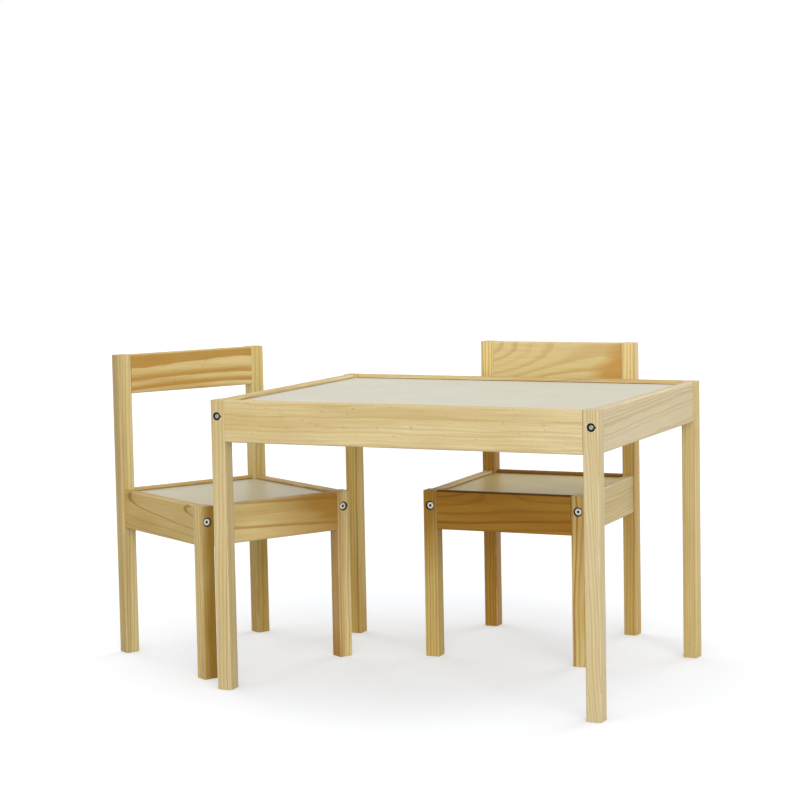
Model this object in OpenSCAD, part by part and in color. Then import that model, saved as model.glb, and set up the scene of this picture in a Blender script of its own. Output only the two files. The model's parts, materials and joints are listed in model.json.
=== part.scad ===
// A child's table with two chairs, in bare pine with off-white panels.
// Each of the three stands by itself. It is two glued frames, front and back, that bolted side rails join,
// and a panel that lies in a groove round the inside of the rails.

/* [Table] */
// Width of the table over its legs
table_w = 630; // [560:10:760]
// Depth of the table over its legs
table_d = 480; // [420:10:600]
// Height of the table
table_h = 450; // [420:10:560]
// Width of a table leg, seen from the front
table_leg_w = 24; // [22:1:32]
// Depth of a table leg, from front to back
table_leg_t = 24; // [22:1:32]
// Height of the rails under the table's edge
table_rail_h = 65; // [56:1:90]
// Thickness of the table's rails
table_rail_t = 16; // [15:0.5:20]
// How far the table's side rails stand back from the legs' outer faces
table_side_inset = 3; // [3:0.5:6]
// How far the table panel lies below the rails' top
table_panel_drop = 6; // [4:0.5:8]

/* [Chairs] */
// Width of a chair over its legs
chair_w = 280; // [250:5:340]
// Depth of a chair over its legs and posts
chair_d = 285; // [255:5:340]
// Height of a chair to the top of its back posts
chair_h = 500; // [460:10:600]
// Height of the seat frame's top
seat_h = 275; // [240:5:320]
// Width of a chair leg or post, seen from the front
chair_leg_w = 24; // [22:1:32]
// Depth of a chair leg or post, from front to back
chair_leg_t = 24; // [22:1:32]
// Height of the rails round the seat
seat_rail_h = 64; // [56:1:90]
// Thickness of the rails round the seat
seat_rail_t = 16; // [15:0.5:20]
// How far the seat's side rails stand back from the legs' outer faces
seat_side_inset = 4; // [3:0.5:6]
// How far the seat panel lies below the rails' top
seat_panel_drop = 5; // [4:0.5:8]
// Height of the backrest board
backrest_h = 65; // [50:1:110]
// Thickness of the backrest board
backrest_t = 16; // [14:0.5:20]

/* [Panels and edges] */
// Thickness of the table and seat panels
panel_t = 5; // [4:0.5:6]
// Depth of the groove that holds a panel
groove_depth = 5; // [4:0.5:6]
// Gap between a panel's edge and the groove's bottom, and between its notches and the legs
panel_end_gap = 0.3; // [0.1:0.1:0.5]
// Gap between a panel's upper face and the groove
panel_top_gap = 0.2; // [0.1:0.05:0.4]
// Easing of the legs' and posts' edges
leg_ease = 1.5; // [0.5:0.25:2.5]
// Easing of the rails' and backrests' long edges
rail_ease = 2.5; // [0.5:0.25:3]

/* [Chair bolts] */
// Diameter of a chair bolt's shank
chair_bolt_d = 6; // [5:0.5:7]
// Diameter of a chair bolt's head
chair_head_d = 12.4; // [10:0.2:13.6]
// Height of a chair bolt's head
chair_head_h = 3; // [2.5:0.25:4]
// How far a chair bolt's head lies below the wood
chair_head_sink = 2; // [1:0.25:3]
// Gap round a chair bolt's head in its counterbore
chair_head_gap = 1.4; // [0.6:0.2:1.8]
// Size of the hexagonal socket in a chair bolt, across its corners
chair_socket_d = 4.6; // [3.4:0.2:6]

/* [Table bolts] */
// Diameter of a table bolt's shank
table_bolt_d = 5; // [4:0.5:6]
// Diameter of a table bolt's head
table_head_d = 7.4; // [7:0.2:8.4]
// Height of a table bolt's head
table_head_h = 3; // [2.5:0.25:4]
// Size of the hexagonal socket in a table bolt, across its corners
table_socket_d = 2.9; // [2:0.2:4]
// Diameter of the cup washer under a table bolt
washer_d = 12.4; // [11:0.2:13.6]
// Thickness of the washer's floor under the bolt's head
washer_floor = 1; // [0.8:0.1:1.6]
// How far the washer's rim lies below the wood
washer_sink = 0.4; // [0.2:0.1:1]
// Width of the tab that keeps the washer from turning
washer_tab_w = 2.4; // [1.6:0.2:3.2]
// How far the tab stands out from the washer
washer_tab_len = 1.6; // [1:0.2:2.4]

/* [Fixings] */
// How far the bolts lie below the top of the rails
bolt_drop = 25; // [24:0.5:28]
// Distance from a side rail's end to its barrel nuts
nut_inset = 25; // [20:1:32]
// Diameter of a barrel nut
nut_d = 10; // [9:0.5:12]
// Length of a barrel nut
nut_len = 11; // [9:0.5:12]
// How far a bolt's tip stands out past its barrel nut
bolt_past_nut = 3; // [1:0.5:6]
// Depth of the hexagonal sockets
socket_depth = 2; // [1:0.25:2.25]
// Diameter of a dowel
dowel_d = 6; // [5:0.5:7]
// Length of a dowel
dowel_len = 24; // [18:1:28]
// Wood between a rail's upper dowel and the panel's groove
dowel_cover = 1; // [0.5:0.25:2]
// Wood between a rail's lower dowel and its lower edge
dowel_lower_cover = 9; // [6:1:12]
// Wood between the backrest's dowels and its edges
backrest_dowel_cover = 11; // [8:1:12]
// Gap round a bolt's shank in the wood
bolt_play = 0.25; // [0.1:0.05:0.4]
// Gap between a bolt's shank and its nut
thread_play = 0.05; // [0.03:0.01:0.08]
// Gap round a nut, and round a washer, in the wood
seat_play = 0.1; // [0.05:0.05:0.3]
// Gap round a dowel
dowel_play = 0.05; // [0.03:0.01:0.1]
// Gap past the end of a dowel, a bolt or a nut
end_play = 0.4; // [0.2:0.1:0.8]

/* [Places on the floor] */
// Turn of the left chair, from facing the table's front
left_chair_turn = 60; // [50:1:75]
// How far the middle of the left chair's front is in from the table's left end
left_chair_tuck = 19; // [0:1:40]
// Place of that point along the table's end, from its middle
left_chair_along = -70; // [-90:1:-20]
// Turn of the right chair, from facing the table's front
right_chair_turn = 1; // [-10:1:10]
// How far the middle of the right chair's front is in from the table's back
right_chair_tuck = 150; // [60:1:180]
// Place of that point along the table's back, from its middle
right_chair_along = 30; // [0:1:80]

/* [Hidden] */
$fn = 48;
pine = "#d9c293";
warm_pine = "#b98f4c";
off_white = "#dad8cc";
zinc = "#c3c6c8";
blackened = "#26241f";
beech = "#cfae7c";
cut = 1; // how far a cutting solid stands out of what it cuts

chair_bore_d = chair_head_d + 2 * chair_head_gap;
chair_bore_depth = chair_head_sink + chair_head_h;
washer_h = washer_floor + table_head_h;
table_bore_d = washer_d + 2 * seat_play;
table_bore_depth = washer_sink + washer_h;
backrest_dowel_inset = backrest_dowel_cover + dowel_d / 2;

// Where the chairs stand, from the table's middle
function turned(p, a) = [p.x * cos(a) - p.y * sin(a), p.x * sin(a) + p.y * cos(a)];
left_chair_at = [-table_w / 2 + left_chair_tuck, left_chair_along] + turned([0, chair_d / 2], left_chair_turn);
right_chair_at = [right_chair_along, table_d / 2 - right_chair_tuck] + turned([0, chair_d / 2], right_chair_turn);

// The outermost points of an article's legs, with their eased edges
function feet(w, d, at, a) = [
    for (sx = [-1, 1], sy = [-1, 1], p = [[w / 2 - leg_ease, d / 2], [w / 2, d / 2 - leg_ease]])
        at + turned([sx * p.x, sy * p.y], a)
];
all_feet = concat(
    feet(table_w, table_d, [0, 0], 0),
    feet(chair_w, chair_d, left_chair_at, left_chair_turn),
    feet(chair_w, chair_d, right_chair_at, right_chair_turn)
);
xs = [for (p = all_feet) p.x];
ys = [for (p = all_feet) p.y];
// The set's own origin is the middle of its box, on the floor
table_at = -[min(xs) + max(xs), min(ys) + max(ys)] / 2;

chair_nodes = [
    "front_left_leg", "front_right_leg", "back_left_post", "back_right_post",
    "front_rail", "back_rail", "left_rail", "right_rail", "backrest", "seat_panel",
    "bolts", "barrel_nuts", "dowels"
];

// ---- The sizes that the shared pieces read, for the table and for a chair ----

module as_table() {
    $w = table_w;
    $d = table_d;
    $top = table_h;
    $leg = [table_leg_w, table_leg_t];
    $rail_h = table_rail_h;
    $rail_t = table_rail_t;
    $inset = table_side_inset;
    $drop = table_panel_drop;
    $bolt_d = table_bolt_d;
    $bore_d = table_bore_d;
    $bore_depth = table_bore_depth;
    $tab = [washer_tab_len, washer_tab_w];
    translate(table_at) children();
}

module as_chair(at, turn) {
    $w = chair_w;
    $d = chair_d;
    $top = seat_h;
    $leg = [chair_leg_w, chair_leg_t];
    $rail_h = seat_rail_h;
    $rail_t = seat_rail_t;
    $inset = seat_side_inset;
    $drop = seat_panel_drop;
    $bolt_d = chair_bolt_d;
    $bore_d = chair_bore_d;
    $bore_depth = chair_bore_depth;
    $tab = [0, 0];
    translate(table_at + at) rotate(turn) children();
}

module as_left_chair() as_chair(left_chair_at, left_chair_turn) children();
module as_right_chair() as_chair(right_chair_at, right_chair_turn) children();

function panel_z() = $top - $drop - panel_t;
function bolt_z() = $top - bolt_drop;
function upper_dowel_z() = panel_z() - dowel_cover - dowel_d / 2;
function lower_dowel_z() = $top - $rail_h + dowel_lower_cover + dowel_d / 2;
function backrest_dowel_zs() = [chair_h - backrest_h + backrest_dowel_inset, chair_h - backrest_dowel_inset];

// ---- Shared shapes ----

module eased_rectangle(size, ease)
    polygon([
        [ease, 0], [size.x - ease, 0], [size.x, ease], [size.x, size.y - ease],
        [size.x - ease, size.y], [ease, size.y], [0, size.y - ease], [0, ease]
    ]);

// A bar with all its edges eased
module eased_bar(size, ease)
    intersection() {
        linear_extrude(size.z) eased_rectangle([size.x, size.y], ease);
        translate([0, size.y, 0])
            rotate([90, 0, 0]) linear_extrude(size.y) eased_rectangle([size.x, size.z], ease);
        rotate([90, 0, 90]) linear_extrude(size.x) eased_rectangle([size.y, size.z], ease);
    }

// A board along X with only its long edges eased, because its ends are glued or bolted to legs
module board(length, thickness, height)
    rotate([90, 0, 90]) linear_extrude(length) eased_rectangle([thickness, height], rail_ease);

// Puts a child that is made for the front left corner at one of the four corners
module at_corner(right, back)
    mirror([right ? 1 : 0, 0, 0]) mirror([0, back ? 1 : 0, 0]) translate([-$w / 2, -$d / 2, 0]) children();

module at_all_corners()
    for (right = [false, true], back = [false, true]) at_corner(right, back) children();

// A cylinder along X from the origin
module along_x(d, length) rotate([0, 90, 0]) cylinder(d = d, h = length);

// A cylinder along Y from the origin
module along_y(d, length) rotate([-90, 0, 0]) cylinder(d = d, h = length);

// ---- Joinery, seen from the front left corner ----

function bolt_x() = $inset + $rail_t / 2;
function bolt_reach() = $leg.y + nut_inset + nut_d / 2 + bolt_past_nut;

// The way through a leg for a bolt, with its counterbore
module bolt_way(tab_side)
    translate([bolt_x(), 0, bolt_z()]) {
        translate([0, -cut, 0]) along_y($bolt_d + 2 * bolt_play, $leg.y + 2 * cut);
        translate([0, -cut, 0]) along_y($bore_d, cut + $bore_depth);
        if ($tab.x > 0) tab_block(tab_side, seat_play, -cut, $bore_depth);
    }

// The block that a washer's tab fills, and its slot when play is given
module tab_block(side, play, from, to)
    translate([side > 0 ? 0 : -washer_d / 2 - $tab.x - play, from, -$tab.y / 2 - play])
        cube([washer_d / 2 + $tab.x + play, to - from, $tab.y + 2 * play]);

// The holes for the dowels that hold one board, from X = 0 into the wood behind it
module dowel_holes(y, zs)
    for (z = zs)
        translate([-dowel_len / 2 - end_play, y, z]) along_x(dowel_d + 2 * dowel_play, dowel_len + 2 * end_play);

function rail_dowel_zs() = [lower_dowel_z(), upper_dowel_z()];

// ---- Pieces of the table and of the seat frames ----

// A leg or a back post, with the holes for its bolt and for the dowels of the rail between the legs
module leg(height, right, back, is_post = false)
    at_corner(right, back)
        difference() {
            eased_bar([$leg.x, $leg.y, height], leg_ease);
            bolt_way(right ? -1 : 1);
            translate([$leg.x, 0, 0]) {
                dowel_holes($rail_t / 2, rail_dowel_zs());
                if (is_post) dowel_holes($leg.y - backrest_t / 2, backrest_dowel_zs());
            }
        }

// The groove for the panel along the inner face of a rail, which is at Y = thickness
module groove(length)
    translate([-cut, $rail_t - groove_depth, panel_z()])
        cube([length + 2 * cut, groove_depth + cut, panel_t + panel_top_gap]);

// The rail between two legs of one frame
module long_rail(back) {
    length = $w - 2 * $leg.x;
    mirror([0, back ? 1 : 0, 0])
        translate([-length / 2, -$d / 2, 0])
            difference() {
                translate([0, 0, $top - $rail_h]) board(length, $rail_t, $rail_h);
                groove(length);
                for (x = [0, length]) translate([x, 0, 0]) dowel_holes($rail_t / 2, rail_dowel_zs());
            }
}

// The rail that joins the front frame to the back frame
module side_rail(right) {
    length = $d - 2 * $leg.y;
    mirror([right ? 1 : 0, 0, 0])
        difference() {
            translate([-$w / 2 + $inset, length / 2, 0])
                rotate(-90)
                    difference() {
                        translate([0, 0, $top - $rail_h]) board(length, $rail_t, $rail_h);
                        groove(length);
                    }
            for (back = [false, true]) at_corner(false, back) bolt_and_nut_way();
        }
}

// The holes in a side rail's end for a bolt and for its barrel nut, which goes in from the inner face
module bolt_and_nut_way() {
    translate([bolt_x(), $leg.y - cut, bolt_z()])
        along_y($bolt_d + 2 * bolt_play, cut + bolt_reach() - $leg.y + end_play);
    translate([bolt_x() - nut_len / 2 - end_play, $leg.y + nut_inset, bolt_z()])
        along_x(nut_d + 2 * seat_play, $rail_t + cut);
}

// The panel in its groove, notched round the legs
module panel() {
    reach = groove_depth - panel_end_gap;
    size = [$w / 2 - $inset - $rail_t + reach, $d / 2 - $rail_t + reach];
    difference() {
        translate([-size.x, -size.y, panel_z()]) cube([2 * size.x, 2 * size.y, panel_t]);
        at_all_corners()
            translate([-cut, -cut, panel_z() - cut])
                cube([$leg.x + panel_end_gap + cut, $leg.y + panel_end_gap + cut, panel_t + 2 * cut]);
    }
}

// ---- Fixings ----

// A bolt along Y with its head's face at the origin
module bolt(shank_d, length, head_d, head_h, socket_d)
    difference() {
        union() {
            along_y(head_d, head_h);
            along_y(shank_d, length);
        }
        translate([0, -cut, 0]) rotate([-90, 0, 0]) cylinder(d = socket_d, h = cut + socket_depth, $fn = 6);
    }

module chair_bolts()
    at_all_corners()
        translate([bolt_x(), chair_head_sink, bolt_z()])
            bolt(chair_bolt_d, bolt_reach() - chair_head_sink, chair_head_d, chair_head_h, chair_socket_d);

module table_bolts()
    at_all_corners()
        translate([bolt_x(), washer_sink, bolt_z()])
            bolt(table_bolt_d, bolt_reach() - washer_sink, table_head_d, table_head_h, table_socket_d);

// The cup washers, each a rim round a bolt's head with a floor under it and a tab at its side
module cup_washers()
    for (right = [false, true], back = [false, true])
        at_corner(right, back)
            translate([bolt_x(), 0, bolt_z()])
                difference() {
                    union() {
                        translate([0, washer_sink, 0]) along_y(washer_d, washer_h);
                        tab_block(right ? -1 : 1, 0, washer_sink, washer_sink + washer_h);
                    }
                    translate([0, washer_sink - cut, 0]) along_y(table_head_d + 2 * bolt_play, cut + table_head_h);
                    along_y(table_bolt_d + 2 * bolt_play, washer_sink + washer_h + cut);
                }

module barrel_nuts()
    at_all_corners()
        translate([bolt_x(), $leg.y + nut_inset, bolt_z()])
            difference() {
                translate([-nut_len / 2, 0, 0]) along_x(nut_d, nut_len);
                translate([0, -nut_d, 0]) along_y($bolt_d + 2 * thread_play, 2 * nut_d);
            }

// The dowels between the long rails and the legs
module rail_dowels()
    at_all_corners()
        for (z = rail_dowel_zs())
            translate([$leg.x - dowel_len / 2, $rail_t / 2, z]) along_x(dowel_d, dowel_len);

// The dowels between the backrest and the posts
module backrest_dowels()
    for (right = [false, true])
        at_corner(right, true)
            for (z = backrest_dowel_zs())
                translate([$leg.x - dowel_len / 2, $leg.y - backrest_t / 2, z]) along_x(dowel_d, dowel_len);

// ---- The table ----

module table_leg(right, back) color(pine) as_table() leg(table_h, right, back);
module table_long_rail(back) color(pine) as_table() long_rail(back);
module table_side_rail(right) color(pine) as_table() side_rail(right);
module table_panel() color(off_white) as_table() panel();
module table_bolt_set() color(zinc) as_table() table_bolts();
module table_washer_set() color(blackened) as_table() cup_washers();
module table_nut_set() color(zinc) as_table() barrel_nuts();
module table_dowel_set() color(beech) as_table() rail_dowels();

// ---- A chair ----

module chair_front_leg(right) color(warm_pine) leg($top, right, false);
module chair_post(right) color(pine) leg(chair_h, right, true, is_post = true);
module chair_long_rail(back) color(warm_pine) long_rail(back);
module chair_side_rail(right) color(pine) side_rail(right);

// The board between the posts, flush with their front faces and tops
module chair_backrest() {
    length = $w - 2 * $leg.x;
    color(warm_pine)
        translate([-length / 2, $d / 2 - $leg.y, 0])
            difference() {
                translate([0, 0, chair_h - backrest_h]) board(length, backrest_t, backrest_h);
                for (x = [0, length]) translate([x, 0, 0]) dowel_holes(backrest_t / 2, backrest_dowel_zs());
            }
}

module chair_seat_panel() color(off_white) panel();
module chair_bolt_set() color(zinc) chair_bolts();
module chair_nut_set() color(zinc) barrel_nuts();
module chair_dowel_set()
    color(beech) {
        rail_dowels();
        backrest_dowels();
    }

// ---- The nodes ----

table_leg(right = false, back = false);  // table_front_left_leg
table_leg(right = true, back = false);  // table_front_right_leg
table_leg(right = false, back = true);  // table_back_left_leg
table_leg(right = true, back = true);  // table_back_right_leg
table_long_rail(back = false);  // table_front_rail
table_long_rail(back = true);  // table_back_rail
table_side_rail(right = false);  // table_left_rail
table_side_rail(right = true);  // table_right_rail
table_panel();
table_bolt_set();  // table_bolts
table_washer_set();  // table_cup_washers
table_nut_set();  // table_barrel_nuts
table_dowel_set();  // table_dowels

as_left_chair() chair_front_leg(right = false);  // left_chair_front_left_leg
as_left_chair() chair_front_leg(right = true);  // left_chair_front_right_leg
as_left_chair() chair_post(right = false);  // left_chair_back_left_post
as_left_chair() chair_post(right = true);  // left_chair_back_right_post
as_left_chair() chair_long_rail(back = false);  // left_chair_front_rail
as_left_chair() chair_long_rail(back = true);  // left_chair_back_rail
as_left_chair() chair_side_rail(right = false);  // left_chair_left_rail
as_left_chair() chair_side_rail(right = true);  // left_chair_right_rail
as_left_chair() chair_backrest();  // left_chair_backrest
as_left_chair() chair_seat_panel();  // left_chair_seat_panel
as_left_chair() chair_bolt_set();  // left_chair_bolts
as_left_chair() chair_nut_set();  // left_chair_barrel_nuts
as_left_chair() chair_dowel_set();  // left_chair_dowels

as_right_chair() chair_front_leg(right = false);  // right_chair_front_left_leg
as_right_chair() chair_front_leg(right = true);  // right_chair_front_right_leg
as_right_chair() chair_post(right = false);  // right_chair_back_left_post
as_right_chair() chair_post(right = true);  // right_chair_back_right_post
as_right_chair() chair_long_rail(back = false);  // right_chair_front_rail
as_right_chair() chair_long_rail(back = true);  // right_chair_back_rail
as_right_chair() chair_side_rail(right = false);  // right_chair_left_rail
as_right_chair() chair_side_rail(right = true);  // right_chair_right_rail
as_right_chair() chair_backrest();  // right_chair_backrest
as_right_chair() chair_seat_panel();  // right_chair_seat_panel
as_right_chair() chair_bolt_set();  // right_chair_bolts
as_right_chair() chair_nut_set();  // right_chair_barrel_nuts
as_right_chair() chair_dowel_set();  // right_chair_dowels
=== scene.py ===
"""Kids table and two chairs: the boards, panels, fixings and studio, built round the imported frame."""

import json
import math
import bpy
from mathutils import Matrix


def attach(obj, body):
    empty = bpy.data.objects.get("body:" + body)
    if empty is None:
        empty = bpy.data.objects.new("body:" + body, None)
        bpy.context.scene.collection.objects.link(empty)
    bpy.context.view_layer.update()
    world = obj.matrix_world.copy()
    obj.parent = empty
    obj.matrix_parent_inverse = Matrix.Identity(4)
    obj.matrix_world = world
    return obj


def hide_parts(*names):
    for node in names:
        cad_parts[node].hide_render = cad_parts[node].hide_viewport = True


bl_info = {
    "name": "Kids Table and Chairs",
    "version": (1, 0, 0),
    "blender": (4, 5, 0),
    "location": "3D View > Sidebar > Kids Set",
    "description": "Builds the pine boards, painted panels and fixings of a children's table with two chairs",
    "category": "Object",
}

import bmesh
import bpy
from bpy.props import FloatProperty, FloatVectorProperty, PointerProperty
from bpy.types import Operator, Panel, PropertyGroup
from mathutils import Matrix, Vector

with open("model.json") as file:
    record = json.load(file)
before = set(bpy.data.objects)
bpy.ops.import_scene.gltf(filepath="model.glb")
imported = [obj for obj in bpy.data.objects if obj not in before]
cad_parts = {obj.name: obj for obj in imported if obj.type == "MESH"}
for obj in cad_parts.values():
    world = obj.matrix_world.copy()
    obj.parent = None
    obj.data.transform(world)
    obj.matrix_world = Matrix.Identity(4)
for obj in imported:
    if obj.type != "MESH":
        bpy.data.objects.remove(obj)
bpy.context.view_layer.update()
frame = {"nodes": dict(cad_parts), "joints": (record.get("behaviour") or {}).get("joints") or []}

MM = 0.001
PER_MM = 1000.0
ROUND_SIDES = 40
FIXING_SIDES = 48
X, Y, Z = Vector((1, 0, 0)), Vector((0, 1, 0)), Vector((0, 0, 1))
ORIGIN = Vector((0, 0, 0))

# Room round a panel in its grooves, and the extra room above it
GROOVE_ROOM = (0.3 * MM, 0.3 * MM, 0.15 * MM)
GROOVE_TOP_ROOM = 0.6 * MM
NOTCH_ROOM = 0.3 * MM
PANEL_EASING = 0.25 * MM

# Rounding of the fixings, and how a cup washer's tab grows out of its rim: half its width, and how far it
# starts inside the rim and under the face
CHAIR_DOME = 1.3 * MM
TABLE_DOME = 0.8 * MM
TIP_ROUND = 0.6 * MM
SOCKET_EASING = 0.15 * MM
WASHER_ROUND = 0.7 * MM
TAB_ROUND = 0.4 * MM
TAB_HALF_WIDTH = 0.8 * MM
TAB_ROOT = 0.6 * MM
TAB_DROP = 0.2 * MM


# ---- Where the three articles stand ----


class Article:
    """A table or a chair: its body and parts, and its own axes, with X to its right and Y to its back."""

    def __init__(self, body, panel, paint, back, turn):
        self.body = body
        self.panel = panel
        self.paint = paint
        self.legs = ("front_left_leg", "front_right_leg", f"back_left_{back}", f"back_right_{back}")
        self.turn = Matrix.Rotation(turn, 4, "Z")
        # The panel is first measured in axes that are only turned, and then gives them their middle
        self.place = self.turn.copy()
        middle = middle_of(self.box(panel))
        self.place = self.turn @ Matrix.Translation((middle.x, middle.y, 0))

    def mesh(self, node):
        """The mesh of a node of this article."""
        return frame["nodes"][f"{self.body}_{node}"].data

    def box_round(self, verts):
        """The lowest and highest corner of some vertices, in the article's own axes."""
        back = self.place.inverted()
        points = [back @ v.co for v in verts]
        low = Vector([min(p[i] for p in points) for i in range(3)])
        high = Vector([max(p[i] for p in points) for i in range(3)])
        return low, high

    def box(self, node):
        return self.box_round(self.mesh(node).vertices)

    def solids(self, node):
        """The box of each separate solid of a node of this article, in its own axes."""
        work = bmesh.new()
        work.from_mesh(self.mesh(node))
        bmesh.ops.remove_doubles(work, verts=work.verts, dist=0.01 * MM)
        left = set(work.verts)
        boxes = []
        while left:
            reached, edge = set(), [next(iter(left))]
            while edge:
                vert = edge.pop()
                if vert not in reached:
                    reached.add(vert)
                    edge += [e.other_vert(vert) for e in vert.link_edges]
            left -= reached
            boxes.append(self.box_round(reached))
        work.free()
        return sorted(boxes, key=lambda b: tuple(round(c, 5) for c in b[0]))


def middle_of(box):
    return (box[0] + box[1]) / 2


def chair_turn(body):
    """How far a chair is turned, from the direction in which it slides out."""
    axis = next(j["axis"] for j in frame["joints"] if j["child"] == body)
    return math.atan2(-axis[0], axis[1])


TABLE = Article("table", "panel", "table_paint", "leg", 0)
LEFT_CHAIR = Article("left_chair", "seat_panel", "seat_paint", "post", chair_turn("left_chair"))
RIGHT_CHAIR = Article("right_chair", "seat_panel", "yellowed_paint", "post", chair_turn("right_chair"))
CHAIRS = (LEFT_CHAIR, RIGHT_CHAIR)
ARTICLES = (TABLE, *CHAIRS)


# ---- Settings ----


def shade(code):
    """A colour code such as #d9c390, as the linear colour that a shader takes."""
    parts = [int(code[i : i + 2], 16) / 255 for i in (1, 3, 5)]
    return tuple(c / 12.92 if c <= 0.04045 else ((c + 0.055) / 1.055) ** 2.4 for c in parts) + (1.0,)


def size_setting(name, description, millimetres, most):
    values = {"default": millimetres * MM, "min": 0, "max": most * MM}
    return FloatProperty(name=name, description=description, unit="LENGTH", precision=5, **values)


def share_setting(name, description, default):
    return FloatProperty(name=name, description=description, default=default, min=0, max=1, subtype="FACTOR")


def level_setting(name, description, default):
    return FloatProperty(name=name, description=description, default=default, min=0)


def colour_setting(name, description, code):
    return FloatVectorProperty(
        name=name, description=description, default=shade(code), size=4, min=0, max=1, subtype="COLOR"
    )


class BoardSettings(PropertyGroup):
    """How the pine boards are rounded, and the colours of their wood."""

    leg_round: size_setting("Leg Rounding", "Radius of the long edges of legs and posts", 2.3, 4)
    foot_round: size_setting("Foot Rounding", "Radius round the ends of legs and posts", 1.0, 2)
    rail_round: size_setting("Rail Rounding", "Radius of the long edges of rails and backrests", 3.2, 4)
    joint_round: size_setting("Joint Easing", "Easing of a rail's ends where they meet the legs", 0.45, 1)
    streaks: share_setting("Fibre Streaks", "Strength of the fine streaks along the grain", 0.5)
    # Lightens the edges' rounding: partly wear, partly a painted highlight
    wear: share_setting("Edge Wear", "How much the handled edges are lightened", 0.4)
    straw: colour_setting("Straw", "Palest sapwood", "#e5d3a4")
    honey: colour_setting("Honey", "Common sapwood", "#d5bd86")
    tan: colour_setting("Tan", "Darker boards", "#caa669")
    apricot: colour_setting("Apricot", "Warm patches", "#d3a45c")
    golden: colour_setting("Golden", "Heartwood", "#b68b43")
    biscuit: colour_setting("Biscuit", "Middling heartwood", "#d0b375")
    umber: colour_setting("Umber", "Dark heartwood", "#a3812f")
    amber: colour_setting("Amber", "Latewood lines of pale boards", "#b88a3a")
    russet: colour_setting("Russet", "Latewood lines of dark boards", "#a5701c")
    brown: colour_setting("Brown", "Latewood lines of the darkest boards", "#7a4c10")


class FixingSettings(PropertyGroup):
    """Sizes of the bolts, and the colours of their finishes."""

    head_thickness: size_setting("Head Thickness", "Thickness of every bolt's head", 3.0, 5)
    head_gap: size_setting("Counterbore Gap", "Room round a chair bolt's head", 1.4, 2)
    chair_shank: size_setting("Chair Bolt Shank", "Thickness of a chair bolt's shank", 6.0, 8)
    table_shank: size_setting("Table Bolt Shank", "Thickness of a table bolt's shank", 5.0, 7)
    chair_socket: size_setting("Chair Bolt Socket", "Width of the hexagonal socket", 4.6, 6)
    table_socket: size_setting("Table Bolt Socket", "Width of the hexagonal socket", 2.9, 4)
    socket_depth: size_setting("Socket Depth", "Depth of the sockets", 2.0, 2.5)
    play: size_setting("Play", "Room round a fixing in its hole", 0.15, 0.3)
    zinc: colour_setting("Zinc", "Bright plated steel", "#c9cebf")
    blackened: colour_setting("Blackened Steel", "Steel of the cup washers", "#0f0d0b")
    beech: colour_setting("Beech", "Turned dowels", "#cfae7c")
    table_panel: colour_setting("Table Panel", "Face of the table top", "#dedbca")
    seat_panel: colour_setting("Left Seat", "Face of the left chair's seat", "#cac3a7")
    # Painted shade and painted warm bounce light: the right seat lies under the table
    yellowed_panel: colour_setting("Right Seat", "Face of the right chair's seat", "#ccb976")
    # Darker than the boards: drilled end grain, and painted shade in holes and grooves
    drilled: colour_setting("Drilled Wood", "Walls of the bolts' holes", "#7d5e30")


class StudioSettings(PropertyGroup):
    """The lamps, the floor and the surroundings."""

    surround: level_setting("Surroundings", "Level of the light from all round", 0.49)
    key: level_setting("Key Lamp", "Strength of the low lamp at the front right", 1.66)
    fill: level_setting("Front Lamp", "Strength of the lamp at the front left", 0.25)
    side: level_setting("Side Lamp", "Strength of the lamp behind at the left", 0.75)
    rear: level_setting("Rear Lamp", "Strength of the lamp behind", 0.75)
    floor: colour_setting("Floor", "Colour that the floor throws back on the furniture", "#c8c8c6")


def boards():
    return bpy.context.scene.board_settings


def fixings():
    return bpy.context.scene.fixing_settings


# ---- Modelling by hand ----


def deselect():
    bpy.ops.object.select_all(action="DESELECT")


def use(piece):
    """Makes a piece the only selected one and the active one."""
    deselect()
    piece.select_set(True)
    bpy.context.view_layer.objects.active = piece


def start(name):
    """Names the piece that was just added, with its place and size put into its mesh."""
    bpy.ops.object.transform_apply(location=True, rotation=True, scale=True)
    piece = bpy.context.object
    piece.name = piece.data.name = name
    return piece


def add_block(name, low, high):
    deselect()
    bpy.ops.mesh.primitive_cube_add(size=1, location=(low + high) / 2, scale=high - low)
    return start(name)


def add_rod(name, axis, middle, begin, end, diameter, sides=ROUND_SIDES):
    """A round bar along X (0) or Y (1) through a point, from one place on that axis to another."""
    deselect()
    first, last = Vector(middle), Vector(middle)
    first[axis], last[axis] = begin, end
    turn = (math.pi / 2, 0, 0) if axis else (0, math.pi / 2, 0)
    bpy.ops.mesh.primitive_cylinder_add(
        vertices=sides,
        radius=diameter / 2,
        depth=(last - first).length,
        location=(first + last) / 2,
        rotation=turn,
    )
    return start(name)


def open_with(piece, kind, test):
    """Opens a piece in edit mode, with only the faces or edges that pass a test selected."""
    use(piece)
    bpy.ops.object.mode_set(mode="EDIT")
    bpy.ops.mesh.select_mode(type="FACE" if kind == "faces" else "EDGE")
    bpy.ops.mesh.select_all(action="DESELECT")
    work = bmesh.from_edit_mesh(piece.data)
    for part in getattr(work, kind):
        if test(part):
            part.select_set(True)
    bmesh.update_edit_mesh(piece.data)


def bevel(radius, segments):
    bpy.ops.mesh.bevel(offset=radius, offset_type="OFFSET", segments=segments, profile=0.5, affect="EDGES")


def round_edges(piece, test, radius, segments):
    open_with(piece, "edges", test)
    bevel(radius, segments)
    bpy.ops.object.mode_set(mode="OBJECT")


def step_end(piece, side, inset, reach, rounding=0.0):
    """Insets the end face of a rod along Y, at its lower (-1) or upper (1) side, and moves it by a reach."""
    open_with(piece, "faces", lambda f: f.normal.y * side > 0.9)
    bpy.ops.mesh.inset(thickness=inset, depth=0)
    bpy.ops.mesh.extrude_region_move(TRANSFORM_OT_translate={"value": (0, reach, 0)})
    if rounding:
        bevel(rounding, 2)
    bpy.ops.object.mode_set(mode="OBJECT")


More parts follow.
